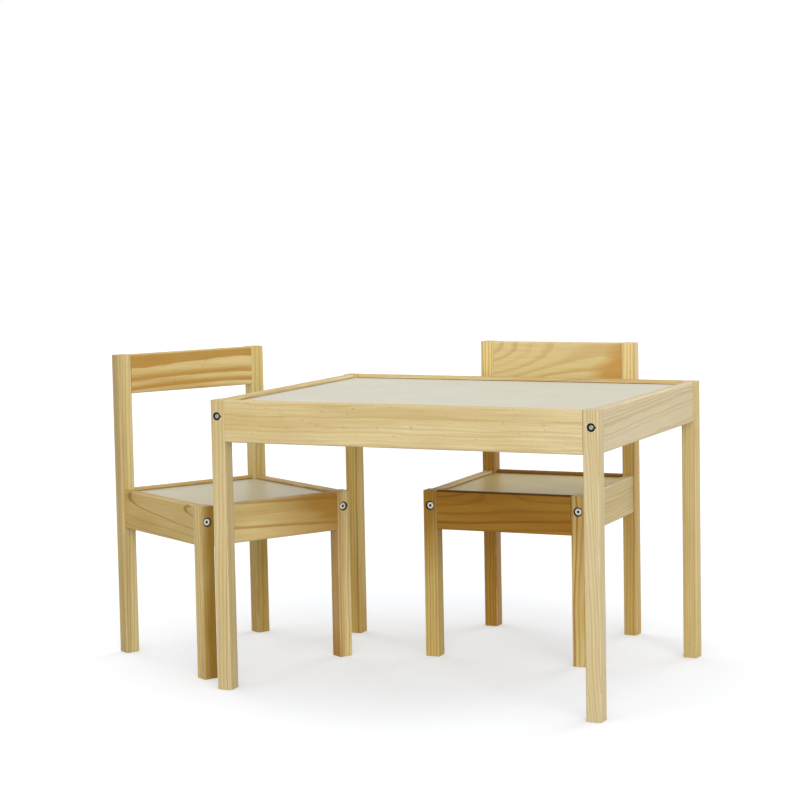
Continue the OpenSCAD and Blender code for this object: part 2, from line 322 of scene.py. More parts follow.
def runs_along(edge, axis):
    """Whether an edge is parallel to an axis, given as 0, 1 or 2."""
    line = edge.verts[1].co - edge.verts[0].co
    return abs(line[axis]) > 0.9 * line.length and line.length > 10 * MM


def lies_at(edge, axis, places):
    """Whether both ends of an edge are at one of some places along an axis."""
    return any(all(abs(v.co[axis] - p) < 0.01 * MM for v in edge.verts) for p in places)


def modify(piece, kind, **settings):
    """Adds a modifier to a piece and applies it."""
    use(piece)
    bpy.ops.object.modifier_add(type=kind)
    modifier = piece.modifiers[-1]
    for name, value in settings.items():
        setattr(modifier, name, value)
    bpy.ops.object.modifier_apply(modifier=modifier.name)


def cut(piece, tool, finish=None, operation="DIFFERENCE"):
    """Cuts a tool's shape out of a piece, or joins it on as a union, and puts the tool away.

    The new faces take the finish, if one is given, and otherwise the piece's own.
    """
    tool.data.materials.append(finish or piece.data.materials[0])
    modify(piece, "BOOLEAN", operation=operation, solver="EXACT", material_mode="TRANSFER", object=tool)
    bpy.data.objects.remove(tool)


def smooth(piece):
    """Shades the rounded edges smooth and keeps the flat faces flat."""
    use(piece)
    bpy.ops.object.shade_smooth_by_angle(angle=math.radians(40))
    modify(piece, "WEIGHTED_NORMAL", keep_sharp=True, weight=100)


def put_at(piece, place):
    """Moves a piece that was made at the origin, and keeps its place in its mesh."""
    use(piece)
    piece.matrix_world = place
    bpy.ops.object.transform_apply(location=True, rotation=True, scale=True)


def hand_over(piece, article, node):
    """Puts a finished piece, made in an article's own axes, into the set, where it stands for a node."""
    put_at(piece, article.place)
    smooth(piece)
    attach(piece, article.body)
    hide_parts(f"{article.body}_{node}")


def bolt_widths(article):
    """How wide an article's bolts are, and their sockets."""
    kind = "table" if article is TABLE else "chair"
    return getattr(fixings(), f"{kind}_shank"), getattr(fixings(), f"{kind}_socket")


def grown(box, by):
    """A box made larger all round by a length or by three."""
    by = Vector((by, by, by)) if isinstance(by, float) else Vector(by)
    return box[0] - by, box[1] + by


def meets(one, other):
    return all(one[0][i] < other[1][i] and other[0][i] < one[1][i] for i in range(3))


def nearest(boxes, point):
    return min(boxes, key=lambda b: (middle_of(b) - point).length)


# ---- Holes ----


def cut_dowel_holes(piece, article, box):
    """Blind holes for the dowels that reach into a board."""
    room = 2 * fixings().play
    for dowel in article.solids("dowels"):
        if meets(dowel, box):
            low, high = dowel
            width = high.z - low.z + room
            cut(piece, add_rod("dowel_hole", 0, middle_of(dowel), low.x - room, high.x + room, width))


def cut_bolt_hole(piece, article, box):
    """The bolt's way through a leg, with the counterbore for its head or its cup washer."""
    sizes = fixings()
    leg_middle = middle_of(box)
    bolt = nearest(article.solids("bolts"), leg_middle)
    middle = middle_of(bolt)
    front = middle.y < 0
    inward = 1 if front else -1
    outer, inner = (box[0].y, box[1].y) if front else (box[1].y, box[0].y)
    begin = outer - inward * MM
    shank = bolt_widths(article)[0]
    if article is TABLE:
        washer = nearest(article.solids("cup_washers"), leg_middle)
        bore = washer[1].z - washer[0].z + 2 * sizes.play
        floor = washer[1].y if front else washer[0].y
        half_width = TAB_HALF_WIDTH + sizes.play
        low = Vector((middle.x, min(begin, floor), middle.z - half_width))
        high = Vector((washer[1].x + sizes.play, max(begin, floor), middle.z + half_width))
        cut(piece, add_block("tab_slot", low, high), finished("drilled_pine"))
    else:
        bore = bolt[1].z - bolt[0].z + 2 * sizes.head_gap
        floor = (bolt[0].y if front else bolt[1].y) + inward * sizes.head_thickness
    # The drill is as wide as the counterbore up to its floor, and from there as wide as the shank
    tool = add_rod("bolt_drill", 1, middle, begin, floor, bore)
    step_end(tool, inward, (bore - shank) / 2 - sizes.play, inward * (abs(inner - floor) + MM))
    cut(piece, tool, finished("drilled_pine"))


def cut_nut_holes(piece, article, box):
    """The holes in a side rail's ends for the bolts, and from its inner face for their nuts."""
    sizes = fixings()
    shank = bolt_widths(article)[0]
    inner = box[1].x if middle_of(box).x < 0 else box[0].x
    for bolt in article.solids("bolts"):
        middle = middle_of(bolt)
        if box[0].x < middle.x < box[1].x:
            front = middle.y < 0
            tip = bolt[1].y + sizes.play if front else bolt[0].y - sizes.play
            outside = box[0].y - MM if front else box[1].y + MM
            cut(piece, add_rod("shank_hole", 1, middle, outside, tip, shank + 2 * sizes.play))
    for nut in article.solids("barrel_nuts"):
        middle = middle_of(nut)
        if box[0].x < middle.x < box[1].x:
            towards = 1 if inner > middle.x else -1
            bottom = middle.x - towards * ((nut[1].x - nut[0].x) / 2 + sizes.play)
            width = nut[1].y - nut[0].y + 2 * sizes.play
            cut(piece, add_rod("nut_hole", 0, middle, bottom, inner + towards * MM, width))


def cut_groove(piece, article, _box):
    """The groove that the panel's edge sits in, wherever the board is."""
    low, high = grown(article.box(article.panel), GROOVE_ROOM)
    high.z += GROOVE_TOP_ROOM
    # The groove's walls take the darker drilled finish: a dark line above the panel that is partly painted
    # shade
    cut(piece, add_block("groove", low, high), finished("drilled_pine"))


# ---- Materials ----


class Wiring:
    """Adds shader nodes to a tree, one call for each, and returns their outputs."""

    def __init__(self, tree):
        self.tree = tree

    def node(self, kind, inputs=(), **settings):
        made = self.tree.nodes.new(kind)
        for name, value in settings.items():
            setattr(made, name, value)
        for key, value in dict(inputs).items():
            self.join(value, made.inputs[key])
        return made

    def join(self, value, socket):
        if isinstance(value, bpy.types.NodeSocket):
            self.tree.links.new(value, socket)
        else:
            socket.default_value = value

    def math(self, operation, *values, clamp=False):
        return self.node("ShaderNodeMath", enumerate(values), operation=operation, use_clamp=clamp).outputs[0]

    def times(self, a, b, clamp=False):
        return self.math("MULTIPLY", a, b, clamp=clamp)

    def plus(self, a, b, clamp=False):
        return self.math("ADD", a, b, clamp=clamp)

    def minus(self, a, b):
        return self.math("SUBTRACT", a, b)

    def vector(self, operation, *values):
        made = self.node("ShaderNodeVectorMath", operation=operation)
        for i, value in enumerate(values):
            self.join(value, made.inputs["Scale"] if operation == "SCALE" and i == 1 else made.inputs[i])
        return made.outputs["Value" if operation in ("LENGTH", "DOT_PRODUCT") else "Vector"]

    def noise(self, vector, detail=2.0, roughness=0.5, output="Fac"):
        inputs = {"Vector": vector, "Scale": 1.0, "Detail": detail, "Roughness": roughness}
        return self.node("ShaderNodeTexNoise", inputs).outputs[output]

    def mix(self, factor, a, b, blend="MIX"):
        made = self.node("ShaderNodeMix", {0: factor, 6: a, 7: b}, data_type="RGBA", blend_type=blend)
        return made.outputs[2]

    def ramp(self, value, low, high, to_low=0.0, to_high=1.0, smoothly=True):
        inputs = {0: value, 1: low, 2: high, 3: to_low, 4: to_high}
        kind = "SMOOTHSTEP" if smoothly else "LINEAR"
        return self.node("ShaderNodeMapRange", inputs, interpolation_type=kind).outputs[0]

    def split(self, vector):
        return self.node("ShaderNodeSeparateXYZ", {0: vector}).outputs

    def combine(self, x, y, z):
        return self.node("ShaderNodeCombineXYZ", {0: x, 1: y, 2: z}).outputs[0]


def new_group(name, inputs):
    """The wiring and the input sockets of an empty pattern, whose inputs are listed by their kind.

    Every material that uses it sets all its inputs, so they have no values of their own.
    """
    tree = bpy.data.node_groups.new(name, "ShaderNodeTree")
    for kind, labels in inputs.items():
        for label in labels:
            tree.interface.new_socket(label, in_out="INPUT", socket_type=f"NodeSocket{kind}")
    for label, kind in (("Colour", "Color"), ("Roughness", "Float"), ("Height", "Float")):
        tree.interface.new_socket(label, in_out="OUTPUT", socket_type=f"NodeSocket{kind}")
    w = Wiring(tree)
    return w, w.node("NodeGroupInput").outputs


def end_group(w, colour, roughness, height):
    """Puts out what a pattern gives to its materials."""
    w.node("NodeGroupOutput", {"Colour": colour, "Roughness": roughness, "Height": height})
    return w.tree


def group_named(name, build):
    """A shader group, built the first time that it is asked for."""
    return bpy.data.node_groups.get(name) or build()


def shader(name):
    """A new material with its wiring and its Principled shader."""
    material = bpy.data.materials.new(name)
    material.use_nodes = True
    return material, Wiring(material.node_tree), material.node_tree.nodes["Principled BSDF"]


def lay_on(w, surface, colour, pattern, strength, depth, specular):
    """Puts a pattern on a Principled shader, with its height as a bump of some strength and depth."""
    w.join(colour, surface.inputs["Base Color"])
    w.join(pattern["Roughness"], surface.inputs["Roughness"])
    bump = w.node("ShaderNodeBump", {"Strength": strength, "Distance": depth, "Height": pattern["Height"]})
    w.join(bump.outputs[0], surface.inputs["Normal"])
    surface.inputs["Specular IOR Level"].default_value = specular


def pine_group():
    """Solid pine: growth rings round a pith line, cut by the board's faces, with fibres, flecks, lightened
    edges that are part wear and part painted highlight, and painted shade along the upper edge.

    The board's own axes are its length (X), its broad face (Y) and its thickness (Z). Vector is in metres,
    and every other length is in millimetres. The rings swell round one place, as they do beside a knot.
    """
    w, given = new_group(
        "Pine",
        {
            "Vector": ("Vector", "Half Size", "Pith", "Lean", "Bend", "Fade", "Swelling"),
            "Float": (
                *("Swelling Size", "Ring Width", "Waver", "Rings", "Even", "Uneven", "Phase"),
                *("Early", "Mottle", "Fade Start", "Streaks", "Flecks", "Wear", "Grime", "Seed"),
            ),
            "Color": ("Pale", "Deep", "Ring Colour", "Tint"),
        },
    )
    place = w.vector("SCALE", given["Vector"], PER_MM)
    seed = w.times(given["Seed"], 37.13)
    shift = w.combine(seed, w.times(seed, 0.37), w.times(seed, 0.71))

    def stretched(along, across):
        return w.vector("MULTIPLY_ADD", place, (1 / along, 1 / across, 1 / across), shift)

    def swing(along, across, size):
        colour = w.noise(stretched(along, across), 1.5, 0.45, "Color")
        return w.vector("SCALE", w.vector("SUBTRACT", colour, (0.5, 0.5, 0.5)), size)

    def multiplied(colour, by):
        return w.mix(1.0, colour, by, "MULTIPLY")

    # The rings: how far a point is from the wavering pith line
    slow = swing(150, 50, w.times(given["Waver"], 4.0))
    bent = w.vector("ADD", slow, swing(42, 12, given["Waver"]))
    along = w.split(place)[0]
    bow = w.math("POWER", w.times(w.math("ABSOLUTE", along), 0.01), 2.0)
    pith = w.vector("ADD", given["Pith"], w.vector("SCALE", given["Lean"], along))
    pith = w.vector("ADD", pith, w.vector("SCALE", given["Bend"], bow))
    away = w.vector("SUBTRACT", w.vector("ADD", place, bent), pith)
    swell = w.math("MAXIMUM", given["Swelling Size"], 0.01)
    beside = w.vector("MULTIPLY", w.vector("SUBTRACT", place, given["Swelling"]), (0.45, 1.0, 1.0))
    beside = w.math("POWER", w.math("DIVIDE", w.vector("LENGTH", beside), swell), 2.0)
    bulge = w.math("DIVIDE", w.times(swell, 1.6), w.plus(beside, 0.6))
    radius = w.plus(w.vector("LENGTH", w.vector("MULTIPLY", away, (0, 1, 1))), bulge)
    count = w.math("DIVIDE", radius, given["Ring Width"])
    uneven = w.noise(w.combine(w.times(count, 0.45), seed, 0.0), 1.0)
    count = w.plus(count, w.math("MULTIPLY_ADD", uneven, given["Uneven"], given["Phase"]))
    part = w.math("FRACT", count)
    ring = w.plus(w.math("FLOOR", count), seed)
    tone = w.node("ShaderNodeTexWhiteNoise", {"W": ring}, noise_dimensions="1D").outputs[0]

    # Each ring darkens from its early wood to its late wood, and ends sharply
    darkest = w.math("MULTIPLY_ADD", given["Early"], 0.3, 0.68)
    late = w.times(w.ramp(part, given["Early"], darkest), w.ramp(part, 0.955, 1.0, 1.0, 0.0))
    strength = w.ramp(tone, 0.0, 1.0, given["Even"], 1.0, False)
    late = w.times(w.math("POWER", late, 1.4), strength)
    line = w.times(late, given["Rings"], clamp=True)

    # The colour: slow drift and rings, with a blush along the grain. The drift's fade is partly the wood's
    # own and partly painted shade
    fade = w.vector("DOT_PRODUCT", place, given["Fade"])
    mottle = w.times(w.ramp(w.noise(stretched(240, 38)), 0.32, 0.68), given["Mottle"])
    drift = w.plus(mottle, w.minus(fade, given["Fade Start"]), clamp=True)
    colour = w.mix(drift, given["Pale"], given["Deep"])
    colour = w.mix(line, colour, given["Ring Colour"])
    blush = w.ramp(w.noise(stretched(170, 5)), 0.36, 0.64)
    colour = multiplied(colour, w.mix(blush, (1.0, 1.0, 0.90, 1), (1.0, 0.982, 0.95, 1)))

    # Fibres and pores, which redden the wood as they darken it, then dark flecks and pin holes
    fibre = w.minus(w.noise(stretched(85, 1.7), 3.0, 0.62), 0.5)
    pore = w.minus(w.noise(stretched(12, 0.4), 2.0, 0.6), 0.5)
    vary = w.plus(w.times(fibre, 0.62), w.times(pore, 0.22))
    vary = w.math("MULTIPLY_ADD", vary, given["Streaks"], 1.0)
    colour = multiplied(colour, w.combine(vary, w.math("POWER", vary, 1.15), w.math("POWER", vary, 1.5)))
    fleck = w.ramp(w.noise(stretched(5.5, 1.3), 1.0, 0.4), 0.735, 0.80)
    pin_place = w.vector("ADD", stretched(7, 3.4), (9.1, 5.3, 2.7))
    pin = w.ramp(w.noise(pin_place, 0.5, 0.4), 0.735, 0.81, 0.0, 0.6)
    fleck = w.times(w.math("MAXIMUM", fleck, pin), given["Flecks"])
    colour = w.mix(fleck, colour, w.mix(0.5, given["Ring Colour"], shade("#4a3014")))
    colour = multiplied(colour, given["Tint"])

    # Lightened edges, part wear and part painted highlight on their rounding; painted shade along the upper
    # edge, where the boards above shade it; and darker end grain
    room = w.split(w.vector("SUBTRACT", given["Half Size"], w.vector("ABSOLUTE", place)))
    edge = w.times(w.ramp(room[1], 0.2, 3.2, 1.0, 0.0), w.ramp(room[2], 0.2, 3.2, 1.0, 0.0))
    patchy = w.ramp(w.noise(stretched(30, 6), 3.0, 0.6), 0.35, 0.65, 0.35, 1.0)
    worn_and_lit = w.times(w.times(edge, patchy), given["Wear"])
    colour = w.mix(worn_and_lit, colour, w.mix(0.35, given["Pale"], shade("#f3e6c6")))
    below_top = w.split(w.vector("SUBTRACT", given["Half Size"], place))[1]
    # Painted shade: the upper edge darkens, as it does where the boards above shade it
    grime = w.times(w.ramp(below_top, 0.6, 2.6, 1.0, 0.0), given["Grime"])
    colour = w.mix(grime, colour, shade("#5a3202"))
    end_grain = w.ramp(room[0], 0.05, 0.7, 1.0, 0.0)
    colour = w.mix(w.times(end_grain, 0.35), colour, given["Deep"])
    rough = w.math("MULTIPLY_ADD", line, 0.08, w.math("MULTIPLY_ADD", pore, 0.25, 0.52))
    rough = w.minus(w.math("MULTIPLY_ADD", grime, 0.45, rough), w.times(worn_and_lit, 0.12))
    height = w.plus(w.times(line, 0.5), w.times(w.plus(fibre, pore), 0.6))
    return end_group(w, colour, rough, height)


def pine_material(article, node, box, axes):
    """The pine of one board, with its pattern turned to lie along the board."""
    wood = WOODS[article.body][node]
    material, w, surface = shader(f"pine_{article.body}_{node}")
    turned = Matrix([article.turn.to_3x3() @ a for a in axes]).transposed()
    where = w.node("ShaderNodeTexCoord").outputs["Object"]
    inputs = {"Vector": where, "Location": article.place @ middle_of(box), "Rotation": turned.to_euler()}
    values = {
        "Vector": w.node("ShaderNodeMapping", inputs, vector_type="TEXTURE").outputs[0],
        "Half Size": [(box[1] - box[0]).dot(Vector([abs(c) for c in a])) / 2 * PER_MM for a in axes],
        "Pith": (0, *wood.pith),
        "Lean": (0, *wood.lean),
        "Bend": (0, *wood.bend),
        "Swelling": wood.swelling[:3],
        "Swelling Size": wood.swelling[3],
        "Streaks": boards().streaks * wood.streaks,
        # Boards with painted top shade get less of the painted edge highlight
        "Wear": boards().wear * (1 - wood.grime),
        "Tint": (wood.level, wood.level * (1 - 0.12 * wood.warmth), wood.level * (1 - wood.warmth), 1),
    }
    for label, tone in zip(("Pale", "Deep", "Ring Colour"), wood.tones.split()):
        values[label] = getattr(boards(), tone)
    pattern = w.node("ShaderNodeGroup", values, node_tree=group_named("Pine", pine_group))
    for socket in pattern.inputs:
        if socket.name not in values:
            w.join(getattr(wood, socket.name.lower().replace(" ", "_")), socket)
    lay_on(w, surface, pattern.outputs["Colour"], pattern.outputs, 0.35, 0.12 * MM, 0.3)
    surface.inputs["IOR"].default_value = 1.45
    return material


class Look:
    """Values given in their kind's order or by name; those left out stay as the kind has them."""

    def __init__(self, *ordered, **named):
        for name, value in (*zip(self.order, ordered), *named.items()):
            setattr(self, name, value)


class Wood(Look):
    """How one board was sawn, with lengths in millimetres.

    Tones names the settings of its pale wood, deep wood and ring lines. The pith line passes through pith,
    across and up from the board's middle, and leans and bends along it. Even is the strength of the faintest
    ring, uneven the drift of the rings' spacing, and early the share of a ring that stays pale. Fade is how
    fast the colour deepens along each axis, and swelling a place and a size. Level and warmth scale and warm
    the colour, and painted top shade darkens the upper edge. On boards that the table or other boards shade,
    the tones, fade, level and warmth are partly painted shade.
    """

    order = ("tones", "pith", "ring_width", "lean", "waver", "rings", "streaks", "flecks", "seed")
    ring_width, lean, bend, swelling = 3.0, (0, 0), (0, 0), (0, 0, 0, 0)
    waver, rings, even, uneven, phase, early = 1.5, 0.5, 0.3, 1.4, 0.0, 0.3
    mottle, fade, fade_start, streaks, flecks = 0.7, (0, 0, 0), 0.0, 1.0, 0.3
    level, warmth, grime = 1.0, 0.0, 0.0


LEG_AXES = (Z, X, Y)
LONG_AXES = (X, Z, -Y)
SIDE_AXES = (Y, Z, X)

# Besides each board's own wood, some boards' tones, fade, level and warmth are painted light and shade:
# painted shade on boards that the table or other boards shade (most of the right chair, the table's back left
# leg, and the left chair's front legs and back right post), and painted cooler light on the table's right
# rail
TABLE_WOOD = {
    "front_rail": Wood(
        "straw honey amber", (70, -95), 4.2, (0.01, 0), 1.6, 0.28, 1.4, 0.5, 1, even=0.0,
        fade=(-0.0015, 0, 0), mottle=0.9, warmth=-0.06
    ),
    "back_rail": Wood(
        "straw tan amber", (-60, -50), 3.0, (0.02, 0), 1.6, 0.5, seed=2, level=0.96, warmth=0.1, grime=0.1
    ),
    "left_rail": Wood("straw biscuit amber", (60, 70), 2.6, (0.01, 0.01), 1.4, 0.5, seed=3, level=0.97),
    "right_rail": Wood(
        "straw honey amber", (-60, -90), 3.8, (0.03, 0), 1.5, 0.3, seed=4, even=0.0, mottle=0.25, level=0.94,
        warmth=-0.24
    ),
    "front_left_leg": Wood(
        "straw honey amber", (40, 45), 3.2, (0.01, 0.01), 1.0, 0.6, seed=5, mottle=0.5, level=0.92,
        warmth=-0.06
    ),
    "front_right_leg": Wood(
        "straw honey amber", (-40, 30), 3.2, (-0.035, 0.01), 1.6, 0.45, seed=6, mottle=0.3, level=0.96,
        warmth=-0.13, flecks=0.45
    ),
    "back_left_leg": Wood("straw tan russet", (38, 40), 3.0, (0.01, 0), 1.0, 0.7, seed=7, warmth=0.35),
    "back_right_leg": Wood(
        "straw honey amber", (-50, 30), 3.0, (0.01, 0), 1.0, 0.5, seed=8, warmth=0.1, level=0.95
    ),
}
LEFT_CHAIR_WOOD = {
    "front_rail": Wood(
        "straw golden russet", (150, 0), 40.0, (-0.05, 0), 1.2, 0.6, 1.2, seed=11, even=0.9, uneven=0,
        early=0.8, phase=0.875, mottle=0.35, fade=(0.005, 0.002, 0), fade_start=-0.35, level=1.02, warmth=0.15
    ),
    "back_rail": Wood("honey golden russet", (40, 50), 3.5, (0.02, 0), 2.0, 0.6, seed=12, warmth=0.2),
    "left_rail": Wood(
        "honey tan umber", (22, 26.3), 9.8, (0, 0.0488), 1.1, 1.0, 1.2, seed=13, even=0.85, uneven=0.3,
        early=0.88, phase=0.7, warmth=0.18, mottle=0.9, level=0.87
    ),
    "right_rail": Wood("honey tan russet", (30, -50), 3.5, (0.05, 0), 2.0, 0.6, seed=14),
    "backrest": Wood(
        "straw tan amber", (37, -142), 5.0, (0.017, 0), 0.65, 0.85, seed=15, bend=(-3.1, 0), even=0.85,
        uneven=0, early=0.15, phase=0.7, warmth=0.13, level=0.965, mottle=0.7, streaks=1.4
    ),
    "front_left_leg": Wood(
        "honey umber brown", (50, 30), 3.2, (0.01, 0), 1.0, 0.3, seed=16, warmth=0.03, fade=(0, 0.05, -0.06),
        level=1.07
    ),
    "front_right_leg": Wood(
        "straw golden russet", (40, 40), 3.4, (0.01, 0), 1.2, 0.45, seed=17, level=1.03, mottle=0.35,
        warmth=0.03, fade=(0, -0.055, 0)
    ),
    "back_left_post": Wood(
        "straw umber brown", (40, 34), 3.6, (0.01, 0), 1.0, 0.45, seed=18, mottle=0.15, early=0.6,
        fade=(0, -0.035, 0), level=0.93, warmth=0.1
    ),
    "back_right_post": Wood(
        "straw biscuit brown", (30, 40), 5.2, (0.01, 0), 1.2, 0.6, seed=19, fade=(-0.006, 0, 0), mottle=0.5,
        level=0.89, warmth=0.24, even=0.2, early=0.6
    ),
}
RIGHT_CHAIR_WOOD = {
    "front_rail": Wood(
        "golden russet brown", (60, -9.5), 12.8, (0, -0.156), 2.4, 0.7, 1.3, seed=21,
        swelling=(-11, 45, 8, 20), even=0.35, uneven=0.25, early=0.5, warmth=0.49, mottle=0.6, phase=0.35,
        grime=0.85
    ),
    "back_rail": Wood(
        "golden russet brown", (30, 50), 3.5, (0.02, 0), 2.0, 0.5, seed=22, warmth=0.7, level=0.85, grime=0.3
    ),
    "left_rail": Wood("honey tan russet", (30, 50), 3.5, (0.02, 0), 2.0, 0.5, seed=23),
    "right_rail": Wood(
        "straw honey amber", (40, -50), 3.6, (0.03, 0), 1.6, 0.3, seed=24, even=0.1, level=0.95
    ),
    "backrest": Wood(
        "straw apricot tan", (30, -50), 12.0, (0, -0.23), 2.6, 0.65, seed=25, bend=(0, 15.4), even=0.3,
        uneven=0.5, early=0.4, phase=0.08, mottle=0.35, fade=(0.03, -0.02, 0), fade_start=2.3, level=0.95,
        warmth=0.08
    ),
    "front_left_leg": Wood(
        "honey golden brown", (40, 40), 3.4, (0.01, 0), 1.2, 0.6, seed=26, level=1.04, warmth=0.28,
        mottle=0.35, fade=(0.008, 0, 0), grime=0.1
    ),
    "front_right_leg": Wood(
        "straw tan russet", (30, 34), 4.4, (0.03, 0), 1.5, 0.75, seed=27, level=1.03, warmth=0.22, even=0.5,
        early=0.4
    ),
    "back_left_post": Wood(
        "straw golden brown", (-34, 34), 3.2, (0.01, 0), 1.2, 0.6, seed=28, warmth=0.2, mottle=0.3,
        fade=(-0.0143, 0, 0), fade_start=-2.86, level=1.1
    ),
    "back_right_post": Wood(
        "straw biscuit russet", (30, -34), 5.0, (0.01, 0), 1.2, 0.6, seed=29, warmth=0.08, mottle=0.2,
        fade=(-0.0143, 0, 0), fade_start=-2.43, level=1.1, even=0.5
    ),
}
WOODS = {"table": TABLE_WOOD, "left_chair": LEFT_CHAIR_WOOD, "right_chair": RIGHT_CHAIR_WOOD}


def finish_group():
    """A painted or plated surface: fine mottling of its tone, and a soft unevenness of its gloss."""
    w, given = new_group(
        "Finish",
        {
            "Vector": ("Vector",),
            "Float": ("Grain Size", "Mottle", "Base Roughness", "Scuffs"),
            "Color": ("Tone", "Shadow Tone"),
        },
    )
    scaled = w.vector("SCALE", given["Vector"], w.math("DIVIDE", 1.0, given["Grain Size"]))
    fine = w.noise(scaled, 3.0, 0.55)
    broad = w.noise(w.vector("SCALE", scaled, 0.05))
    scuff = w.ramp(w.noise(w.vector("MULTIPLY", scaled, (0.08, 0.9, 0.9)), 4.0, 0.7), 0.62, 0.75)
    mottle = w.ramp(w.math("MULTIPLY_ADD", fine, 0.5, w.times(broad, 0.5)), 0.35, 0.65)
    amount = w.times(mottle, given["Mottle"])
    colour = w.mix(amount, given["Tone"], given["Shadow Tone"])
    rough = w.math("MULTIPLY_ADD", broad, 0.10, given["Base Roughness"])
    rough = w.minus(w.plus(rough, w.times(scuff, given["Scuffs"])), 0.05)
    return end_group(w, colour, rough, w.math("MULTIPLY_ADD", scuff, -0.3, fine))


class Finish(Look):
    """A painted, plated or turned surface: its tone, as a setting or a code, with sizes in millimetres."""

    order = ("tone", "shadow", "grain", "mottle", "roughness")
    scuffs, metallic, bump, specular = 0.1, 0.0, 0.02, 0.5


PAINT = {"grain": 3.0, "mottle": 0.4, "scuffs": 0.05, "bump": 0.01, "specular": 0.3}
FINISHES = {
    # Bright plate of the chair bolts and nuts, and the duller plate of the table bolts
    "zinc_plate": Finish("zinc", "#a9aea2", 0.6, 0.5, 0.3, scuffs=0.2, metallic=1.0),
    "steel_plate": Finish("#a2a4a6", "#848688", 0.6, 0.5, 0.34, scuffs=0.2, metallic=1.0),
    # The inside of a table bolt's socket, light grey as a painted highlight; the inside of a chair bolt's,
    # near black as painted shade; and the cup washers
    "bright_steel": Finish("#d0d1d1", "#b2b3b3", 0.5, 0.4, 0.4),
    "socket_steel": Finish("#232221", "#121211", 0.5, 0.6, 0.5, specular=0.2),
    "blackened_steel": Finish("blackened", "#0d0c0b", 0.8, 0.6, 0.5, specular=0.15),
    # The walls of drilled holes, slots and grooves, darker than the boards as drilled end grain and as
    # painted shade in these recesses; and the dowels
    "drilled_pine": Finish("drilled", "#5b4120", 0.8, 0.8, 0.75, bump=0.1),
    "turned_beech": Finish("beech", "#b8925c", 1.2, 0.7, 0.55, bump=0.05),
    # The panels' off-white paint, darker and warmer on the left seat; the right seat's warmer, yellower copy
    # is painted shade and painted warm bounce light from the table above it
    "table_paint": Finish("table_panel", "#d4d0c2", roughness=0.6, **PAINT),
    "seat_paint": Finish("seat_panel", "#c5bda0", roughness=0.4, **PAINT),
    "yellowed_paint": Finish("yellowed_panel", "#bdab71", roughness=0.4, **PAINT),
}


def finished(kind, oily_chair=None):
    """The material of a finish, made the first time that it is asked for.

    A chair's bolts have their own, whose rims get painted shade at one upper side, where the counterbore's
    wall would shade them.
    """
    name = f"{kind}_{oily_chair.body}" if oily_chair else kind
    if name in bpy.data.materials:
        return bpy.data.materials[name]
    look = FINISHES[kind]
    material, w, surface = shader(name)
    coordinates = w.node("ShaderNodeTexCoord").outputs
    values = {
        "Vector": coordinates["Object"],
        "Grain Size": look.grain * MM,
        "Tone": shade(look.tone) if look.tone.startswith("#") else getattr(fixings(), look.tone),
        "Shadow Tone": shade(look.shadow),
        "Mottle": look.mottle,
        "Base Roughness": look.roughness,
        "Scuffs": look.scuffs,
    }
    pattern = w.node("ShaderNodeGroup", values, node_tree=group_named("Finish", finish_group)).outputs
    colour = pattern["Colour"]
    if oily_chair:
        # Painted shade: rim faces that look up and to one side darken, as if the counterbore's wall shaded
        # them
        side = Vector((-0.6 if oily_chair is LEFT_CHAIR else 0.6, 0, 0.8))
        facing = w.vector("DOT_PRODUCT", coordinates["Normal"], oily_chair.turn.to_3x3() @ side)
        colour = w.mix(w.ramp(facing, 0.22, 0.42), colour, shade("#14120f"))
    lay_on(w, surface, colour, pattern, 0.4, look.bump * MM, look.specular)
    surface.inputs["Metallic"].default_value = look.metallic
    return material


# ---- Boards ----


def make_board(article, node, axes, edge_round, end_round, edge_steps, *cuts):
    """A rounded board with its cuts, in its own pine."""
    box = article.box(node)
    piece = add_block(f"{article.body}_{node}_board", *box)
    piece.data.materials.append(pine_material(article, node, box, axes))
    length = max(range(3), key=lambda i: abs(axes[0][i]))
    round_edges(piece, lambda e: runs_along(e, length), edge_round, edge_steps)
    ends = (box[0][length], box[1][length])
    round_edges(piece, lambda e: lies_at(e, length, ends), end_round, 2)
    for cut_holes in cuts:
        cut_holes(piece, article, box)
    hand_over(piece, article, node)


def make_legs(article):
    for node in article.legs:
        sizes = (boards().leg_round, boards().foot_round, 3)
        make_board(article, node, LEG_AXES, *sizes, cut_bolt_hole, cut_dowel_holes)


def make_rails(article):
    sizes = (boards().rail_round, boards().joint_round, 4)
    for node in ("front_rail", "back_rail"):
        make_board(article, node, LONG_AXES, *sizes, cut_groove, cut_dowel_holes)
    for node in ("left_rail", "right_rail"):
        make_board(article, node, SIDE_AXES, *sizes, cut_groove, cut_nut_holes)


def make_panel(article):
    """The thin board in the rails' grooves, notched round the legs."""
    box = article.box(article.panel)
    piece = add_block(f"{article.body}_{article.panel}_sheet", *box)
    piece.data.materials.append(finished(article.paint))
    flat_edges = (box[0].z, box[1].z)
    for leg in article.legs:
        low, high = grown(article.box(leg), NOTCH_ROOM)
        low.z, high.z = box[0].z - MM, box[1].z + MM
        cut(piece, add_block("notch", low, high))
    round_edges(piece, lambda e: lies_at(e, 2, flat_edges) and e.is_manifold, PANEL_EASING, 2)
    hand_over(piece, article, article.panel)


# ---- Fixings ----


